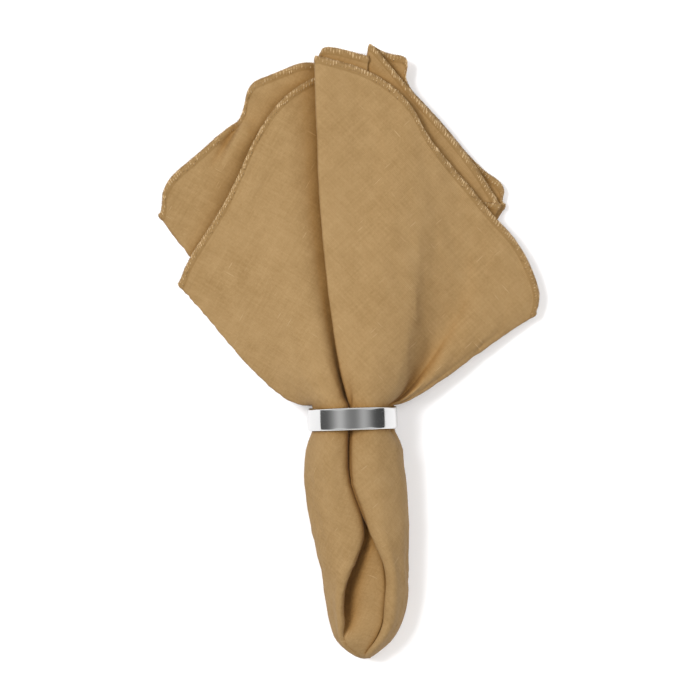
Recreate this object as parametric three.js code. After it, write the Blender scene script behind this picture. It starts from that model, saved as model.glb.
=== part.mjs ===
import * as THREE from 'three';

// A square linen napkin, pinched at its centre and drawn through a metal band ring.
// It lies on a flat surface: the pinched end makes a plump tail below the ring, and
// the four hemmed sides fan out above it in layers. The ring's axis runs along Y, the
// fan opens towards +Y and the surface is z = 0. Everything is in millimetres.

// Napkin
const clothThickness = 1.2;
const halfThickness = clothThickness / 2;

// Ring
const ringOuterRadius = 22.5;
const ringWall = 1.0;
const ringWidth = 11.3;
const ringEdgeRadius = 0.4;
const ringTurn = THREE.MathUtils.degToRad(1.8);
const ringFacets = 56;

// The section that the cloth is gathered into as it passes the ring, and where the
// fan starts
const gatherRadius = 20.5;
const fanStart = 7;

// Folds: half the gap between the two layers that a fold joins, at the ring and at
// the hem, and how far behind the fold's edge the layers run side by side
const foldHalfGapAtRing = 1.1;
const foldHalfGapAtHem = 1.1;
const foldRun = 3;
const wallRun = 1.6;
// In the tail a fold lies closed where its pleat is shallower than the first of these
// depths, and is turned as widely as in the ring from the second on
const foldClosedDepth = 1.2;
const foldFullDepth = 4.5;
// The four points of a closed fold, as shares of the way to the rays beside it
const closedShares = [-0.6, -0.2, 0.2, 0.6];

// The fan sinks from the ring to the table: over what length, and the power of that
// fall
const fallLength = 185;
const fallPower = 1.7;
// Over this length from the ring, a ray's fall is reckoned from its own start
const startBlend = 40;
// How far back from its hem point a ray's second control point lies, as a share of the
// way to its lead point, and the shares of the way where the fan has a section
const hemPull = 0.4;
const fanShares = [0.06, 0.14, 0.24, 0.36, 0.5, 0.64, 0.78, 0.9, 1];

// The tail's pleats run out towards the tip: fully folded up to the first of these
// places along Y, smooth from the second on
const pleatsFull = -50;
const pleatsGone = -69;
// The two grooves beside the tail's inner ridge run out towards the tip
const groovesFull = -98;
const groovesGone = -117;

// The tail's outline: its place along Y, its left and right sides, its top and bottom,
// how far the groove between its two rolls drifts to the right, and how much of the
// groove's hidden pleat is left
const tailSections = [
  { y: -119.4, left: 2.6, right: 9.2, top: 15.4, bottom: 8.6, drift: 0, pleat: 0 },
  { y: -116.6, left: -2.2, right: 13.2, top: 19.6, bottom: 4.6, drift: 0, pleat: 0 },
  { y: -111.4, left: -6.6, right: 18, top: 23.6, bottom: 2.2, drift: 0, pleat: 0 },
  { y: -103, left: -10, right: 23.2, top: 27.2, bottom: 0.5, drift: 0, pleat: 0 },
  { y: -92, left: -12.2, right: 26.4, top: 30.8, bottom: 0.5, drift: 0, pleat: 0 },
  { y: -79, left: -14, right: 27.2, top: 33.4, bottom: 0.5, drift: 2, pleat: 0 },
  { y: -66, left: -17, right: 27.2, top: 35.6, bottom: 0.5, drift: 4.5, pleat: 0 },
  { y: -59, left: -18.6, right: 27.3, top: 36.5, bottom: 0.6, drift: 5, pleat: 0 },
  { y: -52, left: -20, right: 27.2, top: 37.4, bottom: 0.6, drift: 4.5, pleat: 0.1 },
  { y: -38, left: -23, right: 26.2, top: 39, bottom: 0.6, drift: 1.5, pleat: 0.8 },
  { y: -24, left: -23.8, right: 24.8, top: 40.6, bottom: 0.6, drift: 0, pleat: 1 },
  { y: -13, left: -22.6, right: 23.2, top: 41.8, bottom: 1, drift: 0, pleat: 1 },
  { y: -6.5, left: -gatherRadius, right: gatherRadius, top: 43, bottom: 2, drift: 0, pleat: 1 },
  { y: fanStart, left: -gatherRadius, right: gatherRadius, top: 43, bottom: 2, drift: 0, pleat: 1 },
];
const tailTip = { x: 6, y: -120.2, z: 12 };

// One row for each ray of the gathered cloth, in order round the loop, clockwise as
// seen from the tail. A ray runs from the napkin's centre (the tail's tip) through the
// ring to the hem.
// fold: 1 where the loop turns on round an outer fold, -1 where it turns back round an
//   inner fold, 0 on a panel between folds
// wall: the corner of a fold, from 0 to 3, that climbs the ring's wall instead of
//   running inwards
// gone: for the groove's hidden pleat, its place once the pleat has run out, as a share
//   of the way from the groove's foot to its edge
// sink: the power of its fall to the table, where that isn't fallPower
// angle: its direction on the tail's round tip, in degrees, 90 at the top
// dip: how far a groove draws it in from the tail's surface, as a share of the radius
// follow: the share of the groove's drift that it follows
// ring: its place in the ring, X and Z from the ring's centre
// lead: the X and Y that it heads for as it leaves the ring, none where it runs straight
// hem: where it ends
const rays = [
  { name: 'groove edge', fold: 1, angle: 57, dip: 0.22, follow: 1,
    ring: [-0.8, 11.6], lead: [-16, 50], hem: [-18.2, 181.2, 18] },
  { name: 'right roll, left flank', angle: 50, follow: 0.8,
    ring: [2.2, 16.4], lead: [-3, 56], hem: [9.2, 174.2, 19] },
  { name: 'right roll, crown', angle: 42, follow: 0.4,
    ring: [8.4, 18.4], lead: [9, 58], hem: [28.6, 159.4, 18.4] },
  { name: 'right roll, side', angle: 34,
    ring: [14.2, 14.4], lead: [19, 52], hem: [38.6, 139.6, 17.6] },
  { name: 'right roll, foot', angle: 24,
    ring: [17.9, 8.4], lead: [24, 45], hem: [57.6, 118.6, 13.6] },
  { name: 'right trough', angle: 16,
    ring: [16.4, 4.8], lead: [26, 36], hem: [65.4, 101.4, 9.8] },
  { name: 'right lobe, crown', angle: 9,
    ring: [19.2, 3], lead: [30, 26], hem: [82.4, 90.6, 9.8] },
  { name: 'right lobe, side', angle: 3,
    ring: [20.1, 0.6], lead: [32, 17], hem: [93.4, 67.6, 6] },
  { name: 'right fold', fold: 1, wall: 0, angle: -3,
    ring: [19.7, -3.4], lead: [30, 13], hem: [90.6, 52.4, 3.6] },
  { name: 'second layer, right', angle: -7,
    ring: [12, -0.2], hem: [58, 84, 11] },
  { name: 'second layer, inner fold', fold: -1, angle: -11,
    ring: [3.5, 2.6], hem: [8, 110, 16.8] },
  { name: 'third layer, right', angle: -14,
    ring: [12, -3.4], hem: [50, 110, 10] },
  { name: 'strip, right fold', fold: 1, angle: -18,
    ring: [17.6, -8.8], hem: [74, 106.4, 5.8] },
  { name: 'strip, lower', angle: -21,
    ring: [11.5, -5.6], hem: [56.2, 130.4, 7.6] },
  { name: 'strip, upper', angle: -24,
    ring: [3, -0.9], hem: [29.4, 162, 13] },
  { name: 'corner point', fold: -1, angle: -28,
    ring: [-7, 2.6], hem: [8.8, 188, 12.3] },
  { name: 'curl, top', angle: -31,
    ring: [-3, -0.6], hem: [21, 184.6, 11.2] },
  { name: 'curl, side', angle: -34,
    ring: [2, -2.8], hem: [30.4, 177, 11] },
  { name: 'curl, foot', angle: -36,
    ring: [5.5, -4.4], hem: [26, 168.4, 10.8] },
  { name: 'back right, upper', angle: -39,
    ring: [9, -6.6], hem: [40, 154.6, 8.2] },
  { name: 'back right, lower', angle: -42,
    ring: [12.4, -9.8], hem: [57.6, 134.4, 4] },
  { name: 'back right fold', fold: 1, angle: -46,
    ring: [14.6, -13], hem: [77.6, 109.6, 1.9] },
  { name: 'floor, right', sink: 14, angle: -62,
    ring: [9, -17.4], hem: [48, 102, 0.55] },
  { name: 'floor, centre', sink: 14, angle: -80,
    ring: [0, -19.7], hem: [10, 110, 0.55] },
  { name: 'floor, left', sink: 14, angle: -94,
    ring: [-7.6, -18.2], hem: [-26, 116, 0.55] },
  { name: 'floor, left fold', fold: 1, angle: -104,
    ring: [-12.6, -15.6], hem: [-60, 113, 1.7] },
  { name: 'under layer, centre', angle: -120,
    ring: [-2, -14], hem: [-12, 142, 2.7] },
  { name: 'under layer, inner fold', fold: -1, angle: -138,
    ring: [8.5, -13.4], hem: [38, 156, 3.7] },
  { name: 'back layer, centre', angle: -142,
    ring: [-2, -11.4], hem: [0, 168, 4.8] },
  { name: 'back layer, left', angle: -145,
    ring: [-10, -12], hem: [-58, 129, 6.2] },
  { name: 'back layer, lower left', angle: -148,
    ring: [-13.6, -12.6], hem: [-82, 110, 1.8] },
  { name: 'back left fold', fold: 1, angle: -152,
    ring: [-17, -10], hem: [-96.6, 103.4, 2.7] },
  { name: 'left lobe, side', angle: -156,
    ring: [-13, -7.4], hem: [-90.6, 121.6, 4.2] },
  { name: 'left lobe, middle', angle: -159,
    ring: [-12, -7.8], hem: [-78.6, 133, 4.8] },
  { name: 'left lobe, top', angle: -161,
    ring: [-10.8, -7], hem: [-63.4, 144.6, 5.6] },
  { name: 'left step', angle: -164,
    ring: [-9.6, -6.4], hem: [-56, 151, 7.4] },
  { name: 'left corner', angle: -166,
    ring: [-8.2, -5.8], hem: [-52.6, 167.4, 8.4] },
  { name: 'upper left, hem', angle: -168,
    ring: [-6, -5.4], hem: [-42.6, 172.4, 8.8] },
  { name: 'upper left, centre', angle: -171,
    ring: [-3, -5.8], hem: [-17, 180.6, 7.8] },
  { name: 'inner left, upper', angle: -174,
    ring: [0, -8], hem: [4, 160, 6.9] },
  { name: 'inner left fold', fold: -1, angle: -178,
    ring: [5.4, -7.4], hem: [26, 140, 7.3] },
  { name: 'inner left, centre', angle: -182,
    ring: [-2, -3.4], hem: [-8, 122, 10.4] },
  { name: 'inner left, side', angle: -185,
    ring: [-9, -1.2], hem: [-40, 104, 10] },
  { name: 'inner left, lower', angle: -188,
    ring: [-13.6, -1], hem: [-66, 86, 6.2] },
  { name: 'left fold', fold: 1, wall: 3, angle: -192,
    ring: [-19.3, -1], lead: [-33, 9.5], hem: [-86.4, 68, 3.9] },
  { name: 'left panel, lower', angle: -198,
    ring: [-20, 4.2], lead: [-34, 15], hem: [-81.6, 80.6, 6.2] },
  { name: 'left panel, side', angle: -206,
    ring: [-17.6, 9.6], lead: [-33, 24], hem: [-67.6, 101.4, 9.6] },
  { name: 'left panel, middle', angle: -214,
    ring: [-13.8, 14.4], lead: [-31, 32], hem: [-57.4, 120, 11.6] },
  { name: 'left panel, upper', angle: -219,
    ring: [-9.6, 17.2], lead: [-28, 40], hem: [-49.2, 141, 12.4] },
  { name: 'left panel, top', angle: -226, follow: 0.4,
    ring: [-5.6, 14.6], lead: [-22, 46], hem: [-38.6, 159.6, 12.6] },
  { name: 'groove foot', angle: -232, dip: 0.12, follow: 1,
    ring: [-3.4, 5.4], lead: [-15, 50], hem: [-16, 172.2, 13.4] },
  { name: 'groove pleat, inner fold', fold: -1, gone: 0.35, angle: -262, dip: 0.06, follow: 1,
    ring: [9.4, 9.6], lead: [-4, 56], hem: [8.4, 182, 15.7] },
  { name: 'groove pleat, back', gone: 0.7, angle: -282, dip: 0.04, follow: 1,
    ring: [4, 11.4], lead: [-8, 54], hem: [-6, 185.4, 16.9] },
];

// The groove's edge and foot
const grooveEdge = rays[0];
const grooveFoot = rays.find((ray) => ray.name === 'groove foot');

// Small vector helpers
const vector = (x, y, z) => new THREE.Vector3(x, y, z);
const between = (from, to, share) => from.clone().lerp(to, share);
const fadeIn = (value, gone, full) => THREE.MathUtils.smoothstep(value, gone, full);

// A ray's path in the fan, at a share of the way from the ring to its hem point
function fanPoint(ray, share) {
  const start = vector(ray.ring[0], fanStart, 0);
  const end = vector(ray.hem[0], ray.hem[1], 0);
  const lead = ray.lead ? vector(ray.lead[0], ray.lead[1], 0) : between(start, end, 1 / 3);
  const bow = between(end, lead, hemPull);
  const point = new THREE.CubicBezierCurve3(start, lead, bow, end).getPoint(share);
  const middle = vector(0, fanStart, 0);
  const reach = point.distanceTo(middle);
  const startReach = start.distanceTo(middle);
  const startShare = Math.max(1 - (reach - startReach) / startBlend, 0);
  const distance = reach - startReach * startShare;
  const fall = Math.max(1 - distance / fallLength, 0) ** (ray.sink ?? fallPower);
  const ringHeight = ringOuterRadius + ray.ring[1];
  point.z = THREE.MathUtils.lerp(ray.hem[2], ringHeight, fall);
  return point;
}

// The way into a fold from its edge, square to the ray
function foldInward(place, before, after, along) {
  const inward = between(before, after, 0.5).sub(place);
  return inward.addScaledVector(along, -inward.dot(along)).normalize();
}

// The four control points of a fold, as offsets from the fold's edge: the layer that
// comes in, the two corners of the turn, and the layer that goes out
function foldOffsets(inward, along, turn, halfGap) {
  const first = vector(0, 0, 0).crossVectors(along, inward).multiplyScalar(turn * halfGap);
  const second = first.clone().negate();
  const run = inward.clone().multiplyScalar(foldRun);
  return [first.clone().add(run), first, second, second.clone().add(run)];
}

// The control rays: each panel ray once and each fold as four, with the offsets that
// the fold has in the ring and at the hem
function controlRays() {
  const list = [];
  const ringPlace = (ray) => vector(ray.ring[0], 0, ray.ring[1]);
  const hemPlace = (ray) => vector(...ray.hem);
  rays.forEach((ray, index) => {
    const before = rays[(index + rays.length - 1) % rays.length];
    const after = rays[(index + 1) % rays.length];
    if (!ray.fold) {
      list.push({ ray, ringOffset: vector(0, 0, 0), hemOffset: vector(0, 0, 0) });
      return;
    }
    const alongRing = vector(0, 1, 0);
    const alongHem = hemPlace(ray).sub(fanPoint(ray, 0.9)).normalize();
    const ringInward = ray.wall === undefined
      ? foldInward(ringPlace(ray), ringPlace(before), ringPlace(after), alongRing)
      : vector(-Math.sign(ray.ring[0]), 0, 0);
    const hemInward = foldInward(hemPlace(ray), hemPlace(before), hemPlace(after), alongHem);
    const ringOffsets = foldOffsets(ringInward, alongRing, ray.fold, foldHalfGapAtRing);
    const hemOffsets = foldOffsets(hemInward, alongHem, ray.fold, foldHalfGapAtHem);
    if (ray.wall !== undefined) {
      ringOffsets[ray.wall] = vector(0, 0, foldHalfGapAtRing + wallRun);
    }
    closedShares.forEach((share, corner) => {
      list.push({
        ray,
        corner,
        share,
        neighbours: [before, after],
        ringInward,
        ringOffset: ringOffsets[corner],
        hemOffset: hemOffsets[corner],
      });
    });
  });
  return list;
}

// A ray's place in one cross-section of the tail
function tailPoint(ray, section) {
  const pleated = fadeIn(section.y, pleatsGone, pleatsFull);
  const grooved = fadeIn(section.y, groovesGone, groovesFull);
  const radians = THREE.MathUtils.degToRad(ray.angle);
  const radius = 1 - (ray.dip ?? 0) * grooved;
  const flat = new THREE.Vector2(...ray.ring);
  if (ray.gone !== undefined) {
    const edge = new THREE.Vector2(...grooveEdge.ring);
    const foot = new THREE.Vector2(...grooveFoot.ring);
    flat.lerp(foot.lerp(edge, ray.gone), 1 - section.pleat);
  }
  const across = THREE.MathUtils.lerp(Math.cos(radians) * radius, flat.x / gatherRadius, pleated);
  const up = THREE.MathUtils.lerp(Math.sin(radians) * radius, flat.y / gatherRadius, pleated);
  const drift = (ray.follow ?? 0) * section.drift;
  return vector(
    (section.left + section.right) / 2 + across * (section.right - section.left) / 2 + drift,
    section.y,
    (section.top + section.bottom) / 2 + up * (section.top - section.bottom) / 2);
}

// A fold's turn is as open as its pleat is deep. Where it is closed, its four points
// lie on the straight ways to the rays beside it.
function tailControl(control, section) {
  const point = tailPoint(control.ray, section);
  if (!control.neighbours) {
    return point;
  }
  const places = control.neighbours.map((ray) => tailPoint(ray, section));
  const depths = places.map((place) => place.clone().sub(point).dot(control.ringInward));
  const depth = control.ray.wall === undefined ? Math.min(...depths) : Math.max(...depths);
  const pleated = fadeIn(section.y, pleatsGone, pleatsFull);
  const open = fadeIn(depth, foldClosedDepth, foldFullDepth) * Math.sqrt(pleated);
  const closed = between(point, places[control.share < 0 ? 0 : 1], Math.abs(control.share));
  return closed.lerp(point.add(control.ringOffset), open);
}

function fanControl(control, share) {
  const offset = between(control.ringOffset, control.hemOffset, share);
  return fanPoint(control.ray, share).add(offset);
}

// A smooth closed section through the control points: a quadratic B-spline, read
// halfway between neighbours, and also beside the points of a fold's turn
function sectionPoints(controls, places) {
  const points = [];
  controls.forEach((control, index) => {
    const here = places[index];
    const before = places[(index + places.length - 1) % places.length];
    const after = places[(index + 1) % places.length];
    if (control.corner === 1 || control.corner === 2) {
      points.push(here.clone().multiplyScalar(6).add(before).add(after).divideScalar(8));
    }
    points.push(between(here, after, 0.5));
  });
  return points;
}

// The cloth's middle surface: one section for each station, from the tip to the hem
function middleSections() {
  const controls = controlRays();
  const tail = tailSections.map((section) => sectionPoints(
    controls, controls.map((control) => tailControl(control, section))));
  const fan = fanShares.map((share) => sectionPoints(
    controls, controls.map((control) => fanControl(control, share))));
  return [...tail, ...fan];
}

// The direction square to the cloth at each point of its middle surface
function clothNormals(sections, tip) {
  return sections.map((section, station) => section.map((point, column) => {
    const next = section[(column + 1) % section.length];
    const previous = section[(column + section.length - 1) % section.length];
    const inner = station === 0 ? tip : sections[station - 1][column];
    const outer = sections[Math.min(station + 1, sections.length - 1)][column];
    const across = next.clone().sub(previous);
    const along = outer.clone().sub(inner);
    return across.cross(along).normalize();
  }));
}

// One face of the cloth, its points moved off the middle surface and kept above the
// table, where they lie flat
function clothFace(sections, normals, distance) {
  return sections.map((section, station) => section.map((point, column) => {
    const moved = point.clone().addScaledVector(normals[station][column], distance);
    moved.z = Math.max(moved.z, 0);
    return moved;
  }));
}

function napkinGeometry() {
  const tip = vector(tailTip.x, tailTip.y, tailTip.z);
  const sections = middleSections();
  const normals = clothNormals(sections, tip);
  const outerFace = clothFace(sections, normals, halfThickness);
  const innerFace = clothFace(sections, normals, -halfThickness);
  const outerTip = tip.clone().add(vector(0, -halfThickness, 0));
  const innerTip = tip.clone().add(vector(0, halfThickness, 0));
  const columns = sections[0].length;
  const stations = sections.length;
  const positions = [];
  [outerTip, innerTip, ...outerFace.flat(), ...innerFace.flat()].forEach((point) => {
    positions.push(point.x, point.y, point.z);
  });
  const outer = (station, column) => 2 + station * columns + (column % columns);
  const inner = (station, column) => outer(station, column) + stations * columns;
  const triangles = [];
  const quad = (a, b, c, d) => triangles.push(a, b, c, a, c, d);
  for (let column = 0; column < columns; column += 1) {
    triangles.push(0, outer(0, column + 1), outer(0, column));
    triangles.push(1, inner(0, column), inner(0, column + 1));
    for (let station = 0; station < stations - 1; station += 1) {
      quad(outer(station, column), outer(station, column + 1),
        outer(station + 1, column + 1), outer(station + 1, column));
      quad(inner(station, column), inner(station + 1, column),
        inner(station + 1, column + 1), inner(station, column + 1));
    }
    const hem = stations - 1;
    quad(outer(hem, column), outer(hem, column + 1), inner(hem, column + 1), inner(hem, column));
  }
  const geometry = new THREE.BufferGeometry();
  geometry.setAttribute('position', new THREE.Float32BufferAttribute(positions, 3));
  geometry.setIndex(triangles);
  geometry.computeVertexNormals();
  return geometry;
}

// The ring: a band turned about its own axis, its section closed, with rounded edges
function ringGeometry() {
  const profile = new THREE.Shape();
  const inner = ringOuterRadius - ringWall;
  const half = ringWidth / 2;
  const edge = ringEdgeRadius;
  const quarter = Math.PI / 2;
  profile.absarc(ringOuterRadius - edge, half - edge, edge, 0, quarter);
  profile.absarc(inner + edge, half - edge, edge, quarter, 2 * quarter);
  profile.absarc(inner + edge, edge - half, edge, 2 * quarter, 3 * quarter);
  profile.absarc(ringOuterRadius - edge, edge - half, edge, 3 * quarter, 4 * quarter);
  const edgeSteps = 3;
  const points = profile.getPoints(edgeSteps);
  points[points.length - 1] = points[0].clone();
  return new THREE.LatheGeometry(points, ringFacets, Math.PI / ringFacets);
}

function buildRing() {
  const metal = new THREE.MeshStandardMaterial({ color: 0xc9c7c4, roughness: 0.12, metalness: 1 });
  const ring = new THREE.Mesh(ringGeometry(), metal);
  ring.name = 'ring';
  ring.position.z = ringOuterRadius * Math.cos(Math.PI / ringFacets);
  ring.rotation.z = ringTurn;
  return ring;
}

function buildNapkin() {
  const linen = new THREE.MeshStandardMaterial({ color: 0xb09260, roughness: 0.9, metalness: 0 });
  const napkin = new THREE.Mesh(napkinGeometry(), linen);
  napkin.name = 'napkin';
  return napkin;
}

// The whole part, moved so that its origin is on the surface below its middle
const part = new THREE.Group();
part.add(buildNapkin(), buildRing());
const bounds = new THREE.Box3().setFromObject(part);
part.position.set(-(bounds.min.x + bounds.max.x) / 2, -(bounds.min.y + bounds.max.y) / 2, -bounds.min.z);

export default part;
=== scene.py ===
"""A square linen napkin, pinched at its centre and drawn through a polished band ring.

The cloth is one thin sheet. It is a grid of rays, which run from the napkin's centre
(the tail's tip) through the ring to the hem, and of closed sections across them. The
tables are in millimetres from the ring's centre line, with the surface at z = 0.
"""

import math

import bpy
import numpy as np
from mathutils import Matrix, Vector

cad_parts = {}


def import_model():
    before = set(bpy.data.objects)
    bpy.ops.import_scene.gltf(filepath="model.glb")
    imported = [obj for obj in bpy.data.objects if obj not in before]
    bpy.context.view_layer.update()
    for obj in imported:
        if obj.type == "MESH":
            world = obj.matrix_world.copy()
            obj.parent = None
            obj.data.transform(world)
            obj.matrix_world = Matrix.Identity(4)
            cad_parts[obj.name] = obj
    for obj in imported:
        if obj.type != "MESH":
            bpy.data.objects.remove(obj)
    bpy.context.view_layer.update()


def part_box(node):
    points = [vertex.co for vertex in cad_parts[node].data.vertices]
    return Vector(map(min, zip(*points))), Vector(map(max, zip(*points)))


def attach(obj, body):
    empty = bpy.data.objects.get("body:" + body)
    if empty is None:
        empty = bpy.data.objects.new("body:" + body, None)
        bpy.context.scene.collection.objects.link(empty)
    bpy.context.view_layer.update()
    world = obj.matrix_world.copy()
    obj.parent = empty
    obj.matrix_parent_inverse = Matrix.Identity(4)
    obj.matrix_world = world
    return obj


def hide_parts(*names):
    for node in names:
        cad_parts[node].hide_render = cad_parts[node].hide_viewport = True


MM = 0.001

# Ring
RING_RADIUS = 22.5
RING_WALL = 1.0
RING_WIDTH = 11.3
RING_TURN = math.radians(1.8)

# Napkin
NAPKIN_SIDE = 450.0
HEM_LENGTH = 4 * NAPKIN_SIDE
HALF_THICKNESS = 0.36
HEM_WIDTH = 3.0
GATHER_RADIUS = 20.5
FAN_START = 7.0
FOLD_HALF_GAP = 1.1
FOLD_RUN = 3.0
HEM_FOLD_RUN = 1.6
WALL_RUN = 1.6
FOLD_CLOSED_DEPTH = 1.2
FOLD_FULL_DEPTH = 4.5
CLOSED_SHARES = (-0.6, -0.2, 0.2, 0.6)
FALL_LENGTH = 185.0
FALL_POWER = 1.7
START_BLEND = 40.0
HEM_PULL = 0.4
PLEATS_FULL = -62.0
PLEATS_GONE = -84.0
GROOVES_FULL = -98.0
GROOVES_GONE = -117.0

# The tail's outline. y: the place along the tail; left, right, top, bottom: its sides;
# drift: how far the groove between its rolls moves to the right; pleat: how much of the
# groove's hidden pleat is left
TAIL_COLUMNS = ("y", "left", "right", "top", "bottom", "drift", "pleat")
TAIL_SECTIONS = (
    (-119.9, 4.0, 8.0, 13.6, 10.4, 0, 0),
    (-119.4, 2.6, 9.2, 15.4, 8.6, 0, 0),
    (-116.6, -2.2, 13.2, 19.6, 4.6, 0, 0),
    (-111.4, -7.4, 19.2, 23.6, 2.2, 0, 0),
    (-103, -10.8, 24.3, 27.2, 0.5, 0, 0),
    (-92, -12.9, 27.3, 30.8, 0.5, 0, 0),
    (-79, -15.1, 27.6, 33.4, 0.5, 2, 0),
    (-66, -18.4, 27.5, 35.6, 0.5, 4.5, 0),
    (-59, -20, 27.6, 36.5, 0.6, 5, 0),
    (-52, -21.5, 27.5, 37.4, 0.6, 4.5, 0.1),
    (-38, -23.9, 26.5, 39, 0.6, 1.5, 0.8),
    (-24, -24.6, 25.2, 40.6, 0.6, 0, 1),
    (-13, -23.1, 24, 41.8, 1, 0, 1),
    (-6.5, -GATHER_RADIUS, GATHER_RADIUS + 0.5, 43, 2, 0, 1),
    (FAN_START, -GATHER_RADIUS, GATHER_RADIUS, 43, 2, 0, 1),
)
TAIL_TIP = (6.0, -120.2, 12.0)

# The groove between the tail's two rolls. Below the place where it opens, an inner
# ridge shows between them. y: the place along the tail; left, right: the edges of the
# rolls; apart: how far the groove is open; pocket: how deep it is beside the left roll
GROOVE_COLUMNS = ("y", "left", "right", "apart", "pocket")
GROOVE_LINES = (
    (-119.9, 4.6, 6.2, 0.6, 0),
    (-116.2, -0.4, 8.2, 0.9, 0),
    (-109.8, -4.4, 12.4, 1, 0),
    (-102.8, -3.9, 15.4, 1, 0.6),
    (-94.8, -4.3, 16.4, 1, 1),
    (-87.8, -4.0, 16.8, 1, 1),
    (-79.2, -1.9, 16.6, 1, 0.95),
    (-69.8, 1.7, 15.0, 0.95, 0.85),
    (-59.8, 5.0, 11.0, 0.7, 0.8),
    (-53.8, 5.5, 8.0, 0.4, 0.8),
    (-48.2, 5.0, 5.4, 0.12, 1),
    (-40.2, 2.2, 2.4, 0, 1),
    (-33.2, -0.3, -0.1, 0, 1),
    (-25.8, -1.3, -1.1, 0, 1),
    (-15.2, -1.7, -1.5, 0, 1),
    (-6.8, -1.3, -1.2, 0, 1),
    (FAN_START, -1.3, -1.2, 0, 1),
)
# Where the rays beside the groove lie. shut: across from the line and down from the
# tail's top while it is closed; open: the same once it is open, from a place that is
# so far over from the left roll's edge to the right one's; tip: the depth at the tail's
# tip, where there is no pocket. Depths are for a tail 30 mm high
GROOVE_RAYS = {
    "left panel, upper": dict(shut=None, over=0, open=(-3.4, 1.2)),
    "left panel, top": dict(shut=(-1.3, 4.0), over=0, open=(0.5, 3.4)),
    "groove foot": dict(shut=(-0.9, 10), over=0, open=(-1.6, 17.5), tip=2.6),
    "groove pleat, inner fold": dict(shut=(10.6, 9), over=0.33, open=(0, 8.8), tip=4.2),
    "groove pleat, back": dict(shut=(5.2, 8), over=0.92, open=(0, 6.6)),
    "groove edge": dict(shut=(-0.1, 8.6), over=1, open=(3.2, 7.6)),
    "right roll, left flank": dict(shut=(1.0, 3.4), over=1, open=(-0.6, 3.2)),
    "right roll, crown": dict(shut=None, over=1, open=(4.4, 1.2)),
}


def ray(name, edge, angle, ring, hem, lead=None, bow=None, fold=0, wall=None, dip=0.0,
        follow=0.0, sink=FALL_POWER, gone=None, seen=False):
    """One ray of the gathered cloth. edge: its place along the napkin's hem; angle: its
    direction on the tail's round tip, dip: how far a groove draws it in there; ring: X
    and Z in the ring; hem: where it ends; lead: where it heads as it leaves the ring;
    bow: where it comes from as it nears the hem; fold: 1 at an outer fold, -1 at an
    inner one; wall: a fold's corner that climbs the ring's wall; follow: its share of
    the groove's drift; sink: the power of its fall; gone: its place between the
    groove's foot and edge once the hidden pleat has run out; seen: whether the
    photograph's side shows it."""
    return dict(name=name, edge=edge, angle=angle, ring=ring, hem=hem, lead=lead, bow=bow,
                fold=fold, wall=wall, dip=dip, follow=follow, sink=sink, gone=gone, seen=seen)


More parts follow.
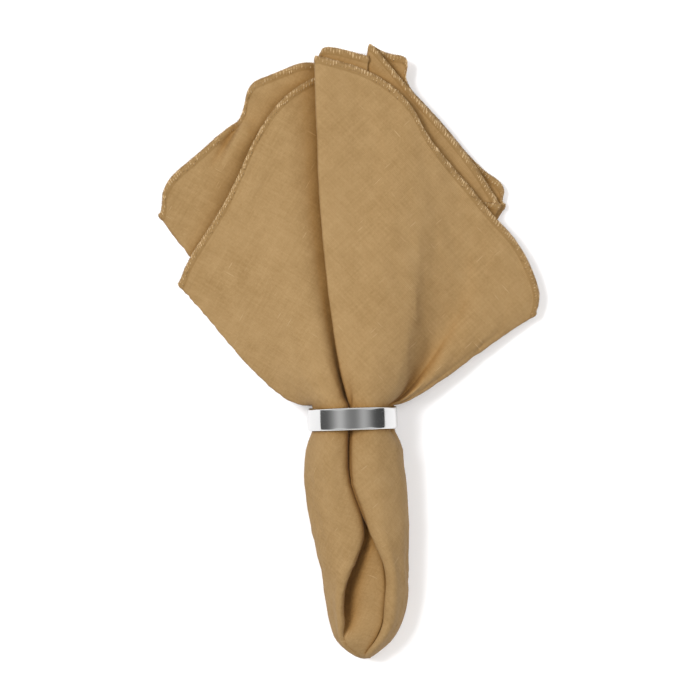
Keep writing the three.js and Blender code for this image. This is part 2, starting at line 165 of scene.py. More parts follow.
RAYS = (
    ray("groove edge", 225, 57, (-1.2, 11.6), (-18.2, 181.2, 18), (-16, 50), fold=1,
        dip=0.22, follow=1, seen=True),
    ray("right roll, left flank", 254, 50, (1.2, 16.8), (9.2, 174.2, 19), (-3, 56), follow=0.8,
        seen=True),
    ray("right roll, crown", 278, 42, (8.4, 18.4), (28.6, 159.4, 18.4), (9, 58), follow=0.4,
        seen=True),
    ray("right roll, side", 300, 34, (14.2, 14.4), (38.2, 139.2, 16), (31, 34), (31, 92),
        seen=True),
    ray("right roll, foot", 327, 24, (18.2, 8.4), (57.2, 118.2, 12.4), (33, 20), (30, 60),
        sink=2.4, seen=True),
    ray("right trough", 345, 16, (16.4, 4.4), (68, 104, 12.4), (32, 12), (52, 46), sink=13,
        seen=True),
    ray("right lobe, crown", 366, 9, (19.6, 3), (84.2, 87.8, 9.8), (33, 10), (52, 40),
        sink=2.4, seen=True),
    ray("right lobe, side", 388, 3, (20.3, 0.6), (93.8, 65.6, 6), (34, 13), seen=True),
    ray("right lobe, corner", 399, 0, (20.5, -1.2), (93.4, 56.6, 4.8), (32.8, 10), (67, 41.4),
        seen=True),
    ray("right fold", 408, -3, (20, -3.4), (92.2, 52, 3.6), (33.4, 7.2), (66.4, 37.6), fold=1,
        wall=0, seen=True),
    ray("second layer, right", 450, -7, (12, -0.2), (58, 84, 8), sink=5.5),
    ray("second layer, inner fold", 495, -11, (3.5, 2.6), (8, 110, 15.8), fold=-1, sink=2.6),
    ray("third layer, right", 525, -14, (12, -3.4), (50, 110, 9), sink=3.4),
    ray("strip, right fold", 556, -18, (17.6, -8.8), (75, 107, 6.6), fold=1, sink=3,
        seen=True),
    ray("strip, lower", 595, -21, (11.5, -5.6), (58.8, 131.4, 9.8), seen=True),
    ray("strip, upper", 640, -24, (3, -0.9), (30.4, 162.6, 14.2), seen=True),
    ray("corner point", 675, -28, (-7, 2.6), (8.4, 187.4, 13), fold=-1, seen=True),
    ray("curl, top", 687, -31, (-3, -0.6), (17, 182.8, 9.6), seen=True),
    ray("curl, side", 698, -34, (2, -2.8), (29, 181.6, 11.4), seen=True),
    ray("curl, foot", 708, -36, (5.5, -4.4), (25, 169, 10.4), seen=True),
    ray("back right, upper", 727, -39, (9, -6.6), (40.4, 153.6, 8.2), seen=True),
    ray("back right, lower", 752, -42, (12.4, -9.8), (63.2, 126, 4), seen=True),
    ray("back right, lobe", 770, -44, (13.6, -11.6), (77, 117.4, 3.4), seen=True),
    ray("back right fold", 786, -46, (14.6, -13), (76.2, 107.8, 1.9), fold=1, seen=True),
    ray("floor, right", 850, -62, (9, -17.4), (48, 102, 0.55), sink=14),
    ray("floor, centre", 915, -80, (0, -19.7), (10, 110, 0.55), sink=14),
    ray("floor, left", 975, -94, (-7.6, -18.2), (-26, 116, 0.55), sink=14),
    ray("floor, left fold", 1020, -104, (-12.6, -15.6), (-60, 113, 1.7), fold=1),
    ray("under layer, centre", 1065, -120, (-2, -14), (-12, 142, 2.7)),
    ray("under layer, inner fold", 1112, -138, (8.5, -13.4), (38, 156, 3.7), fold=-1),
    ray("back layer, centre", 1140, -142, (-2, -11.4), (0, 168, 4.8)),
    ray("back layer, left", 1200, -145, (-10, -12), (-58, 129, 6.2)),
    ray("back layer, lower left", 1330, -148, (-13.6, -12.6), (-82, 110, 1.8)),
    ray("back left fold", 1494, -152, (-17, -10), (-97, 102.6, 2.7), (-46, 36), fold=1, seen=True),
    ray("left lobe, side", 1510, -156, (-13, -7.4), (-95, 118.6, 4.2), seen=True),
    ray("left lobe, middle", 1527, -159, (-12, -7.8), (-78.2, 132.4, 4.8), seen=True),
    ray("left lobe, top", 1545, -161, (-10.8, -7), (-64, 145.2, 5.6), seen=True),
    ray("left step", 1560, -164, (-9.6, -6.4), (-55.2, 150.6, 7), seen=True),
    ray("left corner", 1575, -166, (-8.2, -5.8), (-52.6, 168, 8.6), seen=True),
    ray("upper left, hem", 1587, -168, (-6, -5.4), (-42.6, 171.8, 8.8), seen=True),
    ray("upper left, centre", 1612, -171, (-3, -5.8), (-17.4, 182.2, 7.2), seen=True),
    ray("inner left, upper", 1640, -174, (0, -8), (4, 160, 6.9)),
    ray("inner left fold", 1664, -178, (5.4, -7.4), (26, 140, 7.3), fold=-1),
    ray("inner left, centre", 1700, -182, (-2, -3.4), (-8, 122, 10.4)),
    ray("inner left, side", 1760, -185, (-9, -1.2), (-40, 104, 10)),
    ray("inner left, lower", 1815, -188, (-13.6, -1), (-66, 86, 6.2)),
    ray("left fold", 1846, -192, (-19.6, -1), (-87.4, 67.2, 3.9), (-38.8, 2.4), (-65.6, 44.6),
        fold=1, wall=3, seen=True),
    ray("left panel, lower", 1856, -198, (-20, 4.2), (-82, 80.6, 6.2), (-37, 12), seen=True),
    ray("left panel, side", 1881, -206, (-17.6, 9.6), (-67.6, 101.4, 10.2), (-34, 22), seen=True),
    ray("left panel, middle", 1902, -214, (-13.8, 14.4), (-57.4, 120, 13.6), (-31, 32),
        seen=True),
    ray("left panel, upper", 1924, -219, (-9.6, 17.2), (-49.2, 141, 15.4), (-27, 40), seen=True),
    ray("left panel, top", 1945, -226, (-4.0, 15.2), (-34, 162.4, 14.2), (-19.5, 46),
        follow=0.4, seen=True),
    ray("groove foot", 1972, -232, (-2.6, 5.4), (-16.6, 172.4, 9), (-14, 50), dip=0.12,
        follow=1, seen=True),
    ray("groove pleat, inner fold", 1998, -262, (9.4, 9.6), (8.6, 181.4, 15.7), (-4, 56),
        fold=-1, dip=0.06, follow=1, gone=0.35, seen=True),
    ray("groove pleat, back", 2012, -282, (4, 11.4), (-14.6, 187.4, 16.4), (-8, 54), dip=0.04,
        follow=1, gone=0.7, seen=True),
)
RAY_NAMES = [row["name"] for row in RAYS]
GROOVE_EDGE = RAY_NAMES.index("groove edge")
GROOVE_FOOT = RAY_NAMES.index("groove foot")


def lerp(start, end, share):
    """start at share 0, end at share 1."""
    return start + (end - start) * share


def fade(value, gone, full):
    """0 at gone, 1 at full, smooth between them."""
    share = np.clip((value - gone) / (full - gone), 0, 1)
    return share * share * (3 - 2 * share)


def column(name, missing=0.0):
    """One column of the table of rays, as an array."""
    return np.array([missing if row[name] is None else row[name] for row in RAYS], float)


# The table's columns as arrays, one row a ray
RING = column("ring")
HEM = column("hem")
ANGLE = np.radians(column("angle"))
DIP = column("dip")
FOLLOW = column("follow")
SINK = column("sink")
EDGE = column("edge")
START = np.stack([RING[:, 0], np.full(len(RAYS), FAN_START)], 1)
LEAD = np.array([lerp(START[i], HEM[i, :2], 1 / 3) if row["lead"] is None else row["lead"]
                 for i, row in enumerate(RAYS)])
BOW = np.array([lerp(HEM[i, :2], LEAD[i], HEM_PULL) if row["bow"] is None else row["bow"]
                for i, row in enumerate(RAYS)])


def between_samples(places, values, wanted):
    """values at the wanted places, on a smooth curve through the table's rows."""
    places = np.asarray(places, float)
    values = np.asarray(values, float)
    slopes = np.gradient(values, places)
    index = np.clip(np.searchsorted(places, wanted) - 1, 0, len(places) - 2)
    step = places[index + 1] - places[index]
    t = np.clip((wanted - places[index]) / step, 0, 1)
    return ((2 * t**3 - 3 * t**2 + 1) * values[index] + (t**3 - 2 * t**2 + t) * step * slopes[index]
            + (3 * t**2 - 2 * t**3) * values[index + 1] + (t**3 - t**2) * step * slopes[index + 1])


def tail_rays(y):
    """Every ray's place in the tail's sections at y: rays, sections, 3."""
    rows = np.array(TAIL_SECTIONS, float)
    section = {name: between_samples(rows[:, 0], rows[:, i], y)
               for i, name in enumerate(TAIL_COLUMNS)}
    pleated = fade(y, PLEATS_GONE, PLEATS_FULL)
    grooved = fade(y, GROOVES_GONE, GROOVES_FULL)
    radius = 1 - DIP[:, None] * grooved
    ring = np.repeat(RING[:, None, :], len(y), 1)
    for i, row in enumerate(RAYS):
        if row["gone"] is not None:
            run_out = lerp(RING[GROOVE_FOOT], RING[GROOVE_EDGE], row["gone"])
            ring[i] = lerp(ring[i], run_out, 1 - section["pleat"][:, None])
    across = lerp(np.cos(ANGLE)[:, None] * radius, ring[..., 0] / GATHER_RADIUS, pleated)
    up = lerp(np.sin(ANGLE)[:, None] * radius, ring[..., 1] / GATHER_RADIUS, pleated)
    centre_x = (section["left"] + section["right"]) / 2
    centre_z = (section["top"] + section["bottom"]) / 2
    x = centre_x + across * (section["right"] - section["left"]) / 2
    x = x + FOLLOW[:, None] * section["drift"]
    z = centre_z + up * (section["top"] - section["bottom"]) / 2
    set_groove(x, z, y, section)
    smooth_right_side(x, z, y, section)
    return np.stack([x, np.broadcast_to(y, x.shape), z], -1)


def set_groove(x, z, y, section):
    """Moves the rays beside the tail's groove to its lines."""
    rows = np.array(GROOVE_LINES, float)
    left, right, apart, pocket = (between_samples(rows[:, 0], rows[:, i], y)
                                  for i in range(1, len(GROOVE_COLUMNS)))
    apart = np.clip(apart, 0, 1)
    height = (section["top"] - section["bottom"]) / 30
    for name, place in GROOVE_RAYS.items():
        i = RAY_NAMES.index(name)
        shut_x, shut_z = x[i], z[i]
        if place["shut"]:
            shut_x = (left + right) / 2 + place["shut"][0]
            shut_z = section["top"] - place["shut"][1] * height
        narrow = np.minimum(height, 1)
        deep = place["open"][1]
        if "tip" in place:
            deep = lerp(place["tip"], deep, pocket)
        open_x = lerp(left, right, place["over"]) + place["open"][0] * narrow
        open_z = section["top"] - deep * height
        x[i] = lerp(shut_x, open_x, apart)
        z[i] = lerp(shut_z, open_z, apart)


# In the tail the right roll's side runs on smoothly under it: the places, across and up
# from the ring's centre, of the rays that make a trough above the ring
SMOOTH_SIDE = {
    "right roll, side": (14.8, 14.0),
    "right roll, foot": (18.4, 9.6),
    "right trough": (19.9, 5.6),
    "right lobe, crown": (20.6, 2.2),
    "right lobe, side": (20.8, -0.8),
    "right lobe, corner": (20.6, -2.8),
    "right fold": (20.2, -5.2),
}
# Where along the tail they start to move there and where they have arrived
SMOOTH_SIDE_FADE = (FAN_START - 6, -16)


def smooth_right_side(x, z, y, section):
    """Moves the rays of the right roll's side on to its round."""
    share = fade(y, *SMOOTH_SIDE_FADE) * fade(y, PLEATS_GONE, PLEATS_FULL)
    middle_x = (section["left"] + section["right"]) / 2
    middle_z = (section["top"] + section["bottom"]) / 2
    half_x = (section["right"] - section["left"]) / 2
    half_z = (section["top"] - section["bottom"]) / 2
    for name, (across, up) in SMOOTH_SIDE.items():
        i = RAY_NAMES.index(name)
        x[i] = lerp(x[i], middle_x + across / GATHER_RADIUS * half_x, share)
        z[i] = lerp(z[i], middle_z + up / GATHER_RADIUS * half_z, share)


def fan_rays(shares):
    """Every ray's place in the fan, at shares of the way to its hem: rays, sections, 3."""
    t = shares[None, :, None]
    end = HEM[:, None, :2]
    start = START[:, None]
    lead = LEAD[:, None]
    bow = BOW[:, None]
    plan = ((1 - t)**3 * start + 3 * t * (1 - t)**2 * lead + 3 * t**2 * (1 - t) * bow
            + t**3 * end)
    middle = np.array([0, FAN_START])
    reach = np.linalg.norm(plan - middle, axis=-1)
    start_reach = np.linalg.norm(start - middle, axis=-1)
    distance = reach - start_reach * np.maximum(1 - (reach - start_reach) / START_BLEND, 0)
    fall = np.maximum(1 - distance / FALL_LENGTH, 0) ** SINK[:, None]
    z = lerp(HEM[:, None, 2], RING_RADIUS + RING[:, None, 1], fall)
    return np.concatenate([plan, z[..., None]], -1)


def unit(vectors):
    """The same directions, each of length one."""
    return vectors / np.maximum(np.linalg.norm(vectors, axis=-1, keepdims=True), 1e-9)


def fold_inward(place, before, after, along):
    """The way into a fold from its edge, square to the ray."""
    inward = (before + after) / 2 - place
    return unit(inward - along * np.dot(inward, along))


def fold_offsets(inward, along, turn, length):
    """The four control points of a fold, as offsets from its edge."""
    first = np.cross(along, inward) * turn * FOLD_HALF_GAP
    run = inward * length
    return np.array([first + run, first, -first, run - first])


def fold_controls():
    """For each fold: its ray, the rays beside it, its way in, and its offsets in the
    ring and at the hem."""
    almost_hem = fan_rays(np.array([0.9]))[:, 0]
    flat_ring = np.stack([RING[:, 0], np.zeros(len(RAYS)), RING[:, 1]], 1)
    folds = {}
    for i, row in enumerate(RAYS):
        if not row["fold"]:
            continue
        before = (i - 1) % len(RAYS)
        after = (i + 1) % len(RAYS)
        along_ring = np.array([0.0, 1.0, 0.0])
        along_hem = unit(HEM[i] - almost_hem[i])
        if row["wall"] is None:
            ring_inward = fold_inward(flat_ring[i], flat_ring[before], flat_ring[after], along_ring)
        else:
            ring_inward = np.array([-np.sign(RING[i, 0]), 0, 0])
        hem_inward = fold_inward(HEM[i], HEM[before], HEM[after], along_hem)
        ring_offsets = fold_offsets(ring_inward, along_ring, row["fold"], FOLD_RUN)
        if row["wall"] is not None:
            ring_offsets[row["wall"]] = (0, 0, FOLD_HALF_GAP + WALL_RUN)
        hem_offsets = fold_offsets(hem_inward, along_hem, row["fold"], HEM_FOLD_RUN)
        folds[i] = (before, after, ring_inward, ring_offsets, hem_offsets)
    return folds


def nearest_turn(edge, to):
    """The same place along the hem, counted so that it lies nearest to another."""
    return to + (edge - to + HEM_LENGTH / 2) % HEM_LENGTH - HEM_LENGTH / 2


def control_grid(tail_y, fan_shares):
    """The control points of every section, with each fold as four, and the place along
    the hem that each control stands for: controls, sections, 3 and controls."""
    tail = tail_rays(tail_y)
    fan = fan_rays(fan_shares)
    pleated = fade(tail_y, PLEATS_GONE, PLEATS_FULL)
    folds = fold_controls()
    controls = []
    edges = []
    for i in range(len(RAYS)):
        if i not in folds:
            controls.append(np.concatenate([tail[i], fan[i]]))
            edges.append(EDGE[i])
            continue
        before, after, inward, ring_offsets, hem_offsets = folds[i]
        depths = [(tail[j] - tail[i]) @ inward for j in (before, after)]
        depth = np.minimum(*depths) if RAYS[i]["wall"] is None else np.maximum(*depths)
        is_open = (fade(depth, FOLD_CLOSED_DEPTH, FOLD_FULL_DEPTH) * np.sqrt(pleated))[:, None]
        for corner, share in enumerate(CLOSED_SHARES):
            beside = before if share < 0 else after
            closed = lerp(tail[i], tail[beside], abs(share))
            in_tail = lerp(closed, tail[i] + ring_offsets[corner], is_open)
            offset = lerp(ring_offsets[corner], hem_offsets[corner], fan_shares[:, None])
            controls.append(np.concatenate([in_tail, fan[i] + offset]))
            edges.append(lerp(EDGE[i], nearest_turn(EDGE[beside], EDGE[i]), abs(share) / 2))
    return np.array(controls), np.array(edges)


# How finely the sections are read: the spacing of columns at the hem, on layers that
# show and on those that don't
SEEN_SPACING = 2.0
HIDDEN_SPACING = 6.5
LEAST_COLUMNS = 2


def control_seen():
    """Whether each control is on a layer that shows."""
    seen = []
    for row in RAYS:
        seen += [row["seen"]] * (len(CLOSED_SHARES) if row["fold"] else 1)
    return np.array(seen)


def section_columns(controls, edges):
    """The smooth closed sections through the controls, as columns of a grid: a quadratic
    B-spline with as many readings a control as its stretch of hem needs."""
    count = len(controls)
    before = np.roll(controls, 1, 0)
    after = np.roll(controls, -1, 0)
    edge_before = np.roll(edges, 1)
    edge_after = np.roll(edges, -1)
    enter = (before + controls) / 2
    leave = (controls + after) / 2
    lengths = np.linalg.norm(leave[:, -1] - controls[:, -1], axis=1)
    lengths += np.linalg.norm(controls[:, -1] - enter[:, -1], axis=1)
    seen = control_seen()
    columns = []
    places = []
    shown = []
    for i in range(count):
        spacing = SEEN_SPACING if seen[i] else HIDDEN_SPACING
        readings = max(LEAST_COLUMNS, math.ceil(lengths[i] / spacing))
        edge_in = (nearest_turn(edge_before[i], edges[i]) + edges[i]) / 2
        edge_out = (nearest_turn(edge_after[i], edges[i]) + edges[i]) / 2
        for k in range(readings):
            t = k / readings
            columns.append((1 - t)**2 * enter[i] + 2 * t * (1 - t) * controls[i] + t**2 * leave[i])
            places.append((1 - t)**2 * edge_in + 2 * t * (1 - t) * edges[i] + t**2 * edge_out)
            shown.append(seen[i])
    return np.array(columns), np.array(places), np.array(shown)


class SmoothNoise:
    """Smooth values between -1 and 1 on a grid that repeats, always the same for a seed."""

    SIZE = 64

    def __init__(self, seed):
        self.grid = np.random.default_rng(seed).uniform(-1, 1, (self.SIZE, self.SIZE))

    def at(self, i, j):
        """The grid's own value at a whole place."""
        return self.grid[i % self.SIZE, j % self.SIZE]

    def __call__(self, a, b):
        a0 = np.floor(a).astype(int)
        b0 = np.floor(b).astype(int)
        s = a - a0
        t = b - b0
        s = s * s * s * (s * (s * 6 - 15) + 10)
        t = t * t * t * (t * (t * 6 - 15) + 10)
        low = lerp(self.at(a0, b0), self.at(a0 + 1, b0), s)
        high = lerp(self.at(a0, b0 + 1), self.at(a0 + 1, b0 + 1), s)
        return lerp(low, high, t)


def grid_normals(grid):
    """The direction square to the cloth at each point of the grid."""
    across = np.roll(grid, -1, 0) - np.roll(grid, 1, 0)
    along = np.gradient(grid, axis=1)
    return unit(np.cross(across, along))


def ray_lengths(grid):
    """How far along its ray each point of the grid is from the tail's tip."""
    steps = np.linalg.norm(np.diff(grid, axis=1), axis=-1)
    return np.concatenate([np.zeros((len(grid), 1)), np.cumsum(steps, 1)], 1)


# How many sections lie along the tail and the fan, and how much closer together they are
# at the tip and at the hem
TAIL_STATIONS = 38
FAN_STATIONS = 46
TIP_CROWDING = 1.35
HEM_CROWDING = 0.45


def station_places():
    """Where the sections lie: closer together at the tip and at the hem."""
    first = TAIL_SECTIONS[0][0]
    share = np.linspace(0, 1, TAIL_STATIONS)
    tail_y = lerp(first, FAN_START, share ** TIP_CROWDING)
    share = np.linspace(0, 1, FAN_STATIONS + 1)[1:]
    fan_shares = share * (1 + HEM_CROWDING * (1 - share))
    return tail_y, fan_shares


# Hidden layers are gathered in fine pleats: how many, how deep each is, and how steep
# its sides may be
PLEAT_COUNT = 70
PLEAT_DEPTH = 1.0
PLEAT_SLOPE = 1.35
# How far along the cloth from the tail's tip the ring is
RING_LENGTH = 122.0
# The cloth's soft wrinkles. seed: of their noise; across, along: their size along the hem
# and along the rays; height: how high they stand
WRINKLES = {
    "long folds": dict(seed=3, across=26, along=95, height=0.9),
    "puckers": dict(seed=8, across=13, along=17, height=0.34),
    "crinkles": dict(seed=11, across=6, along=7, height=0.12),
    "tail folds": dict(seed=21, across=45, along=30, height=0.54),
    "hem ripple": dict(seed=5, across=16, along=1, height=0.7),
    "pleat wander": dict(seed=17, across=40, along=50, height=1),
}
HIDDEN_WRINKLES = 0.35


def wrinkle(name, across, along):
    """How high one kind of wrinkle stands, at places along the hem and along the rays."""
    kind = WRINKLES[name]
    noise = SmoothNoise(kind["seed"])
    return noise(across / kind["across"], along / kind["along"]) * kind["height"]


def soften(grid, places, lengths, shown):
    """Adds the cloth's own soft wrinkles and fine pleats, square to the cloth."""
    normals = grid_normals(grid)
    edge = places[:, None]
    total = lengths[:, -1:]
    to_hem = total - lengths
    from_ring = lengths - RING_LENGTH
    in_fan = fade(from_ring, 6, 30)
    in_tail = fade(-from_ring, 8, 26) * fade(lengths, 4, 20)
    spread = np.clip(lengths / total, 0.08, 1)
    small = wrinkle("puckers", edge * spread, lengths) + wrinkle("crinkles", edge * spread, lengths)
    long_folds = wrinkle("long folds", edge, lengths) * fade(from_ring, 0, 60)
    calm = np.where(shown, 1.0, HIDDEN_WRINKLES)[:, None]
    height = in_fan * (long_folds + small)
    height = height + in_tail * (wrinkle("tail folds", edge, lengths) + small)
    ripple = wrinkle("hem ripple", edge, np.zeros_like(edge)) * fade(to_hem, 16, 0)
    height = (height + ripple) * calm + lap_height(grid, edge)
    hidden = smooth_columns(1.0 - shown)[:, None]
    around = np.linalg.norm(np.roll(grid, -1, 0) - grid, axis=-1)
    pleat_width = around.sum(0) / PLEAT_COUNT
    deep = np.minimum(PLEAT_DEPTH, PLEAT_SLOPE * pleat_width / (2 * math.pi))
    turns = 2 * math.pi * PLEAT_COUNT / HEM_LENGTH
    waves = np.sin(edge * turns + wrinkle("pleat wander", edge, lengths))
    pleats = waves * deep[None, :] * fade(lengths, 30, 60)
    height = height + pleats * fade(hidden, 0.5, 1)
    return grid + normals * height[..., None]


# Where the upper left lobe laps over the left one: the crease's two ends, how high the
# lap stands and how wide it is, the crease's depth and half its width, and the stretch
# of hem that it lies on
LAP_START = np.array([-56.4, 146.4])
LAP_END = np.array([-71.4, 121.0])
LAP_HEIGHT = 3.4
LAP_WIDTH = 16.0
CREASE_DEPTH = 2.2
CREASE_HALF = 2.2
LAP_EDGES = (1500, 1625)


def lap_height(grid, edge):
    """How far the lap in the upper left lobe lifts the cloth."""
    along = LAP_END - LAP_START
    length = np.linalg.norm(along)
    along = along / length
    offset = grid[..., :2] - LAP_START
    down = offset @ along
    across = offset @ np.array([-along[1], along[0]])
    lift = LAP_HEIGHT * fade(across, -0.6, 1.6) * fade(across, LAP_WIDTH, 3)
    lift = lift - CREASE_DEPTH * fade(np.abs(across + CREASE_HALF), CREASE_HALF, 0)
    ends = fade(down, length, 0.3 * length) * fade(down, -6, 0)
    return lift * ends * ((edge > LAP_EDGES[0]) & (edge < LAP_EDGES[1]))


def smooth_columns(values):
    """A column's values averaged with its neighbours', round the loop."""
    return sum(np.roll(values, step, 0) for step in range(-2, 3)) / 5


def settle(grid):
    """Brings the lowest layer down onto the surface."""
    lowered = grid.copy()
    z = grid[..., 2]
    lowered[..., 2] = np.maximum(z - 0.24 * (1 - fade(z, 0.6, 4)), HALF_THICKNESS)
    return lowered


def napkin_grid():
    """The cloth's middle surface, its columns' places along the hem, and how far along
    its ray each point is."""
    tail_y, fan_shares = station_places()
    controls, edges = control_grid(tail_y, fan_shares)
    grid, places, shown = section_columns(controls, edges)
    lengths = ray_lengths(grid)
    grid = settle(soften(grid, places, lengths, shown))
    return grid, places, ray_lengths(grid)


def ring_centre():
    """The point of the surface below the ring's centre."""
    low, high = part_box("ring")
    return Vector(((low.x + high.x) / 2, (low.y + high.y) / 2, 0))


def to_frame(points, centre):
    """Millimetres from the ring's centre line to metres in the frame."""
    return np.asarray(points) * MM + np.array([centre.x, centre.y, 0])


def mesh_object(name, points, faces):
    """A smooth-shaded object in the scene."""
    mesh = bpy.data.meshes.new(name)
    mesh.from_pydata([tuple(p) for p in points], [], faces)
    mesh.validate()
    mesh.shade_smooth()
    made = bpy.data.objects.new(name, mesh)
    bpy.context.scene.collection.objects.link(made)
    return made


def hem_swell(lengths):
    """Half the cloth's thickness: thin, and thicker where the hem is overlocked."""
    to_hem = lengths[:, -1:] - lengths
    band = fade(to_hem, HEM_WIDTH + 0.8, HEM_WIDTH - 0.6)
    rounded = np.sqrt(np.clip(1 - ((HEM_WIDTH * 0.3 - to_hem) / (HEM_WIDTH * 0.3)) ** 2, 0.04, 1))
    rounded = np.where(to_hem < HEM_WIDTH * 0.3, rounded, 1)
    return lerp(HALF_THICKNESS, HALF_THICKNESS * 2.0 * rounded, band)


def make_napkin(centre):
    """The napkin as one closed cloth, with the grid that it was made from."""
    grid, places, lengths = napkin_grid()
    normals = grid_normals(grid)
    half = hem_swell(lengths)[..., None]
    faces_of = {}
    for side, sign in (("outer", 1), ("inner", -1)):
        face = grid + normals * half * sign
        face[..., 2] = np.maximum(face[..., 2], 0)
        faces_of[side] = face
    columns, stations = grid.shape[:2]
    tip = np.array(TAIL_TIP)
    tips = [tip - (0, HALF_THICKNESS, 0), tip + (0, HALF_THICKNESS, 0)]
    points = np.concatenate([tips, faces_of["outer"].reshape(-1, 3),
                             faces_of["inner"].reshape(-1, 3)])
    faces = []
    inner_start = 2 + columns * stations
    for c in range(columns):
        here = 2 + c * stations
        there = 2 + ((c + 1) % columns) * stations
        inside = here - 2 + inner_start
        inside_next = there - 2 + inner_start
        faces.append((0, there, here))
        faces.append((1, inside, inside_next))
        for s in range(stations - 1):
            faces.append((here + s, there + s, there + s + 1, here + s + 1))
            faces.append((inside + s, inside + s + 1, inside_next + s + 1, inside_next + s))
        last = stations - 1
        faces.append((here + last, there + last, inside_next + last, inside + last))
    napkin = mesh_object("napkin_cloth", to_frame(points, centre), faces)
    cloth_maps(napkin, grid, places, lengths)
    return napkin, grid, normals, lengths


# The threads' slope on the left panel, beyond this place along the hem, and on the right
# ones
LEFT_HALF = 1020
LEFT_TURN = math.radians(-30)
RIGHT_TURN = math.radians(-47)


def cloth_maps(napkin, grid, places, lengths):
    """Two maps in metres. weave: where the threads run, across and along. hem: how far
    a point is along the hem and from it."""
    stations = grid.shape[1]
    in_tail = fade(grid[..., 1], FAN_START + 4, FAN_START - 16)
    low, high = grid[..., 0].min(0), grid[..., 0].max(0)
    middle = (low + high) / 2
    half = (high - low) / 2 + 0.5
    round_tail = middle + half * np.arcsin(np.clip((grid[..., 0] - middle) / half, -1, 1))
    across = lerp(grid[..., 0], round_tail, in_tail)
    along = lerp(grid[..., 1], lengths - RING_LENGTH, in_tail)
    turn = np.where(places > LEFT_HALF, LEFT_TURN, RIGHT_TURN)[:, None]
    turned_x = across * np.cos(turn) + along * np.sin(turn)
    turned_y = along * np.cos(turn) - across * np.sin(turn)
    rim = np.linalg.norm(np.roll(grid[:, -1], -1, 0) - grid[:, -1], axis=-1)
    along_hem = np.concatenate([[0], np.cumsum(rim[:-1])])[:, None] + np.zeros_like(lengths)
    to_hem = lengths[:, -1:] - lengths
    tables = {"weave": (turned_x, turned_y), "hem": (along_hem, to_hem)}
    corners = np.zeros(len(napkin.data.loops), np.int64)
    napkin.data.loops.foreach_get("vertex_index", corners)
    for name, (a, b) in tables.items():
        flat = np.stack([a.reshape(-1), b.reshape(-1)], 1) * MM
        tip = flat[::stations].mean(0)
        values = np.concatenate([[tip, tip], flat, flat])
        layer = napkin.data.uv_layers.new(name=name)
        layer.data.foreach_set("uv", values[corners].astype(np.float32).ravel())


def tube(path, radius, sides, start):
    """A closed tube along a path of points: its points and its faces, numbered from
    start."""
    along = unit(np.gradient(path, axis=0))
    helper = np.where(np.abs(along[:, 2:]) > 0.9, [[1.0, 0, 0]], [[0, 0, 1.0]])
    side = unit(np.cross(along, helper))
    up = np.cross(side, along)
    points = []
    for k in range(sides):
        turn = 2 * math.pi * k / sides
        points.append(path + (side * math.cos(turn) + up * math.sin(turn)) * radius)
    rings = np.stack(points, 1)
    count = len(path)
    faces = []
    for i in range(count - 1):
        for k in range(sides):
            a = start + i * sides + k
            b = start + i * sides + (k + 1) % sides
            faces.append((a, b, b + sides, a + sides))
    faces.append(tuple(start + k for k in reversed(range(sides))))
    faces.append(tuple(start + (count - 1) * sides + k for k in range(sides)))
    return rings.reshape(-1, 3), faces


STITCH_PITCH = 1.6
STITCH_RADIUS = 0.18
STITCH_SIDES = 5
# One overlock stitch. share: how far into its pitch; inset: how far in from the hem's
# edge; face: 1 on the upper side, 0 at the edge, -1 below
STITCH_PATH = (
    (0.0, 2.8, 1.1),
    (0.08, 2.2, 1.05),
    (0.17, 1.4, 0.72),
    (0.26, 0.6, 1),
    (0.31, 0.1, 0.7),
    (0.36, -0.25, 0),
    (0.45, 0.1, -0.7),
    (0.6, 1.5, -1),
    (0.7, 2.7, -1),
    (0.8, 1.5, -1),
    (0.88, 0.1, -0.7),
    (0.92, -0.25, 0),
    (0.95, 0.1, 0.7),
    (0.97, 0.6, 1),
    (0.985, 1.4, 0.72),
)


def make_stitches(centre, grid, normals, lengths):
    """The overlock thread that wraps the hem all the way round."""
    rim = grid[:, -1]
    closed = np.concatenate([rim, rim[:1]])
    around = np.concatenate([[0], np.cumsum(np.linalg.norm(np.diff(closed, axis=0), axis=1))])
    stitches = round(around[-1] / STITCH_PITCH)
    pitch = around[-1] / stitches
    path_rows = np.array(STITCH_PATH)
    place = ((np.arange(stitches)[:, None] + path_rows[None, :, 0]) * pitch).ravel()
    inset = np.tile(path_rows[:, 1], stitches)
    face = np.tile(path_rows[:, 2], stitches)
    inset = inset * (1 + 0.3 * SmoothNoise(31)(place / 1.7, place * 0))
    place = place + 0.7 * pitch * SmoothNoise(41)(place / 5, place * 0)
    place = np.clip(place, 0, around[-1])
    column_of = np.interp(place, around, np.arange(len(closed)))
    low = np.floor(column_of).astype(int) % len(rim)
    high = (low + 1) % len(rim)
    blend = (column_of - np.floor(column_of))[:, None]
    half = hem_swell(lengths)

    def at(column_index):
        to_hem = lengths[column_index, -1:] - lengths[column_index]
        points = []
        for k in range(len(column_index)):
            depth = max(inset[k], 0)
            order = to_hem[k, ::-1]
            place_here = [np.interp(depth, order, grid[column_index[k], ::-1, i]) for i in range(3)]
            normal = [np.interp(depth, order, normals[column_index[k], ::-1, i]) for i in range(3)]
            swell = np.interp(depth, order, half[column_index[k], ::-1])
            points.append(np.array(place_here) + np.array(normal) * face[k] * swell)
        return np.array(points)

    path = lerp(at(low), at(high), blend)
    outward = unit(grid[:, -1] - grid[:, -3])
    out_here = lerp(outward[low], outward[high], blend)
    path = path + out_here * np.maximum(-inset, 0)[:, None]
    path[:, 2] = np.maximum(path[:, 2], STITCH_RADIUS)
    path = np.concatenate([path, path[:1]])
    points, faces = tube(path, STITCH_RADIUS, STITCH_SIDES, 0)
    return mesh_object("napkin_overlock", to_frame(points, centre), faces)


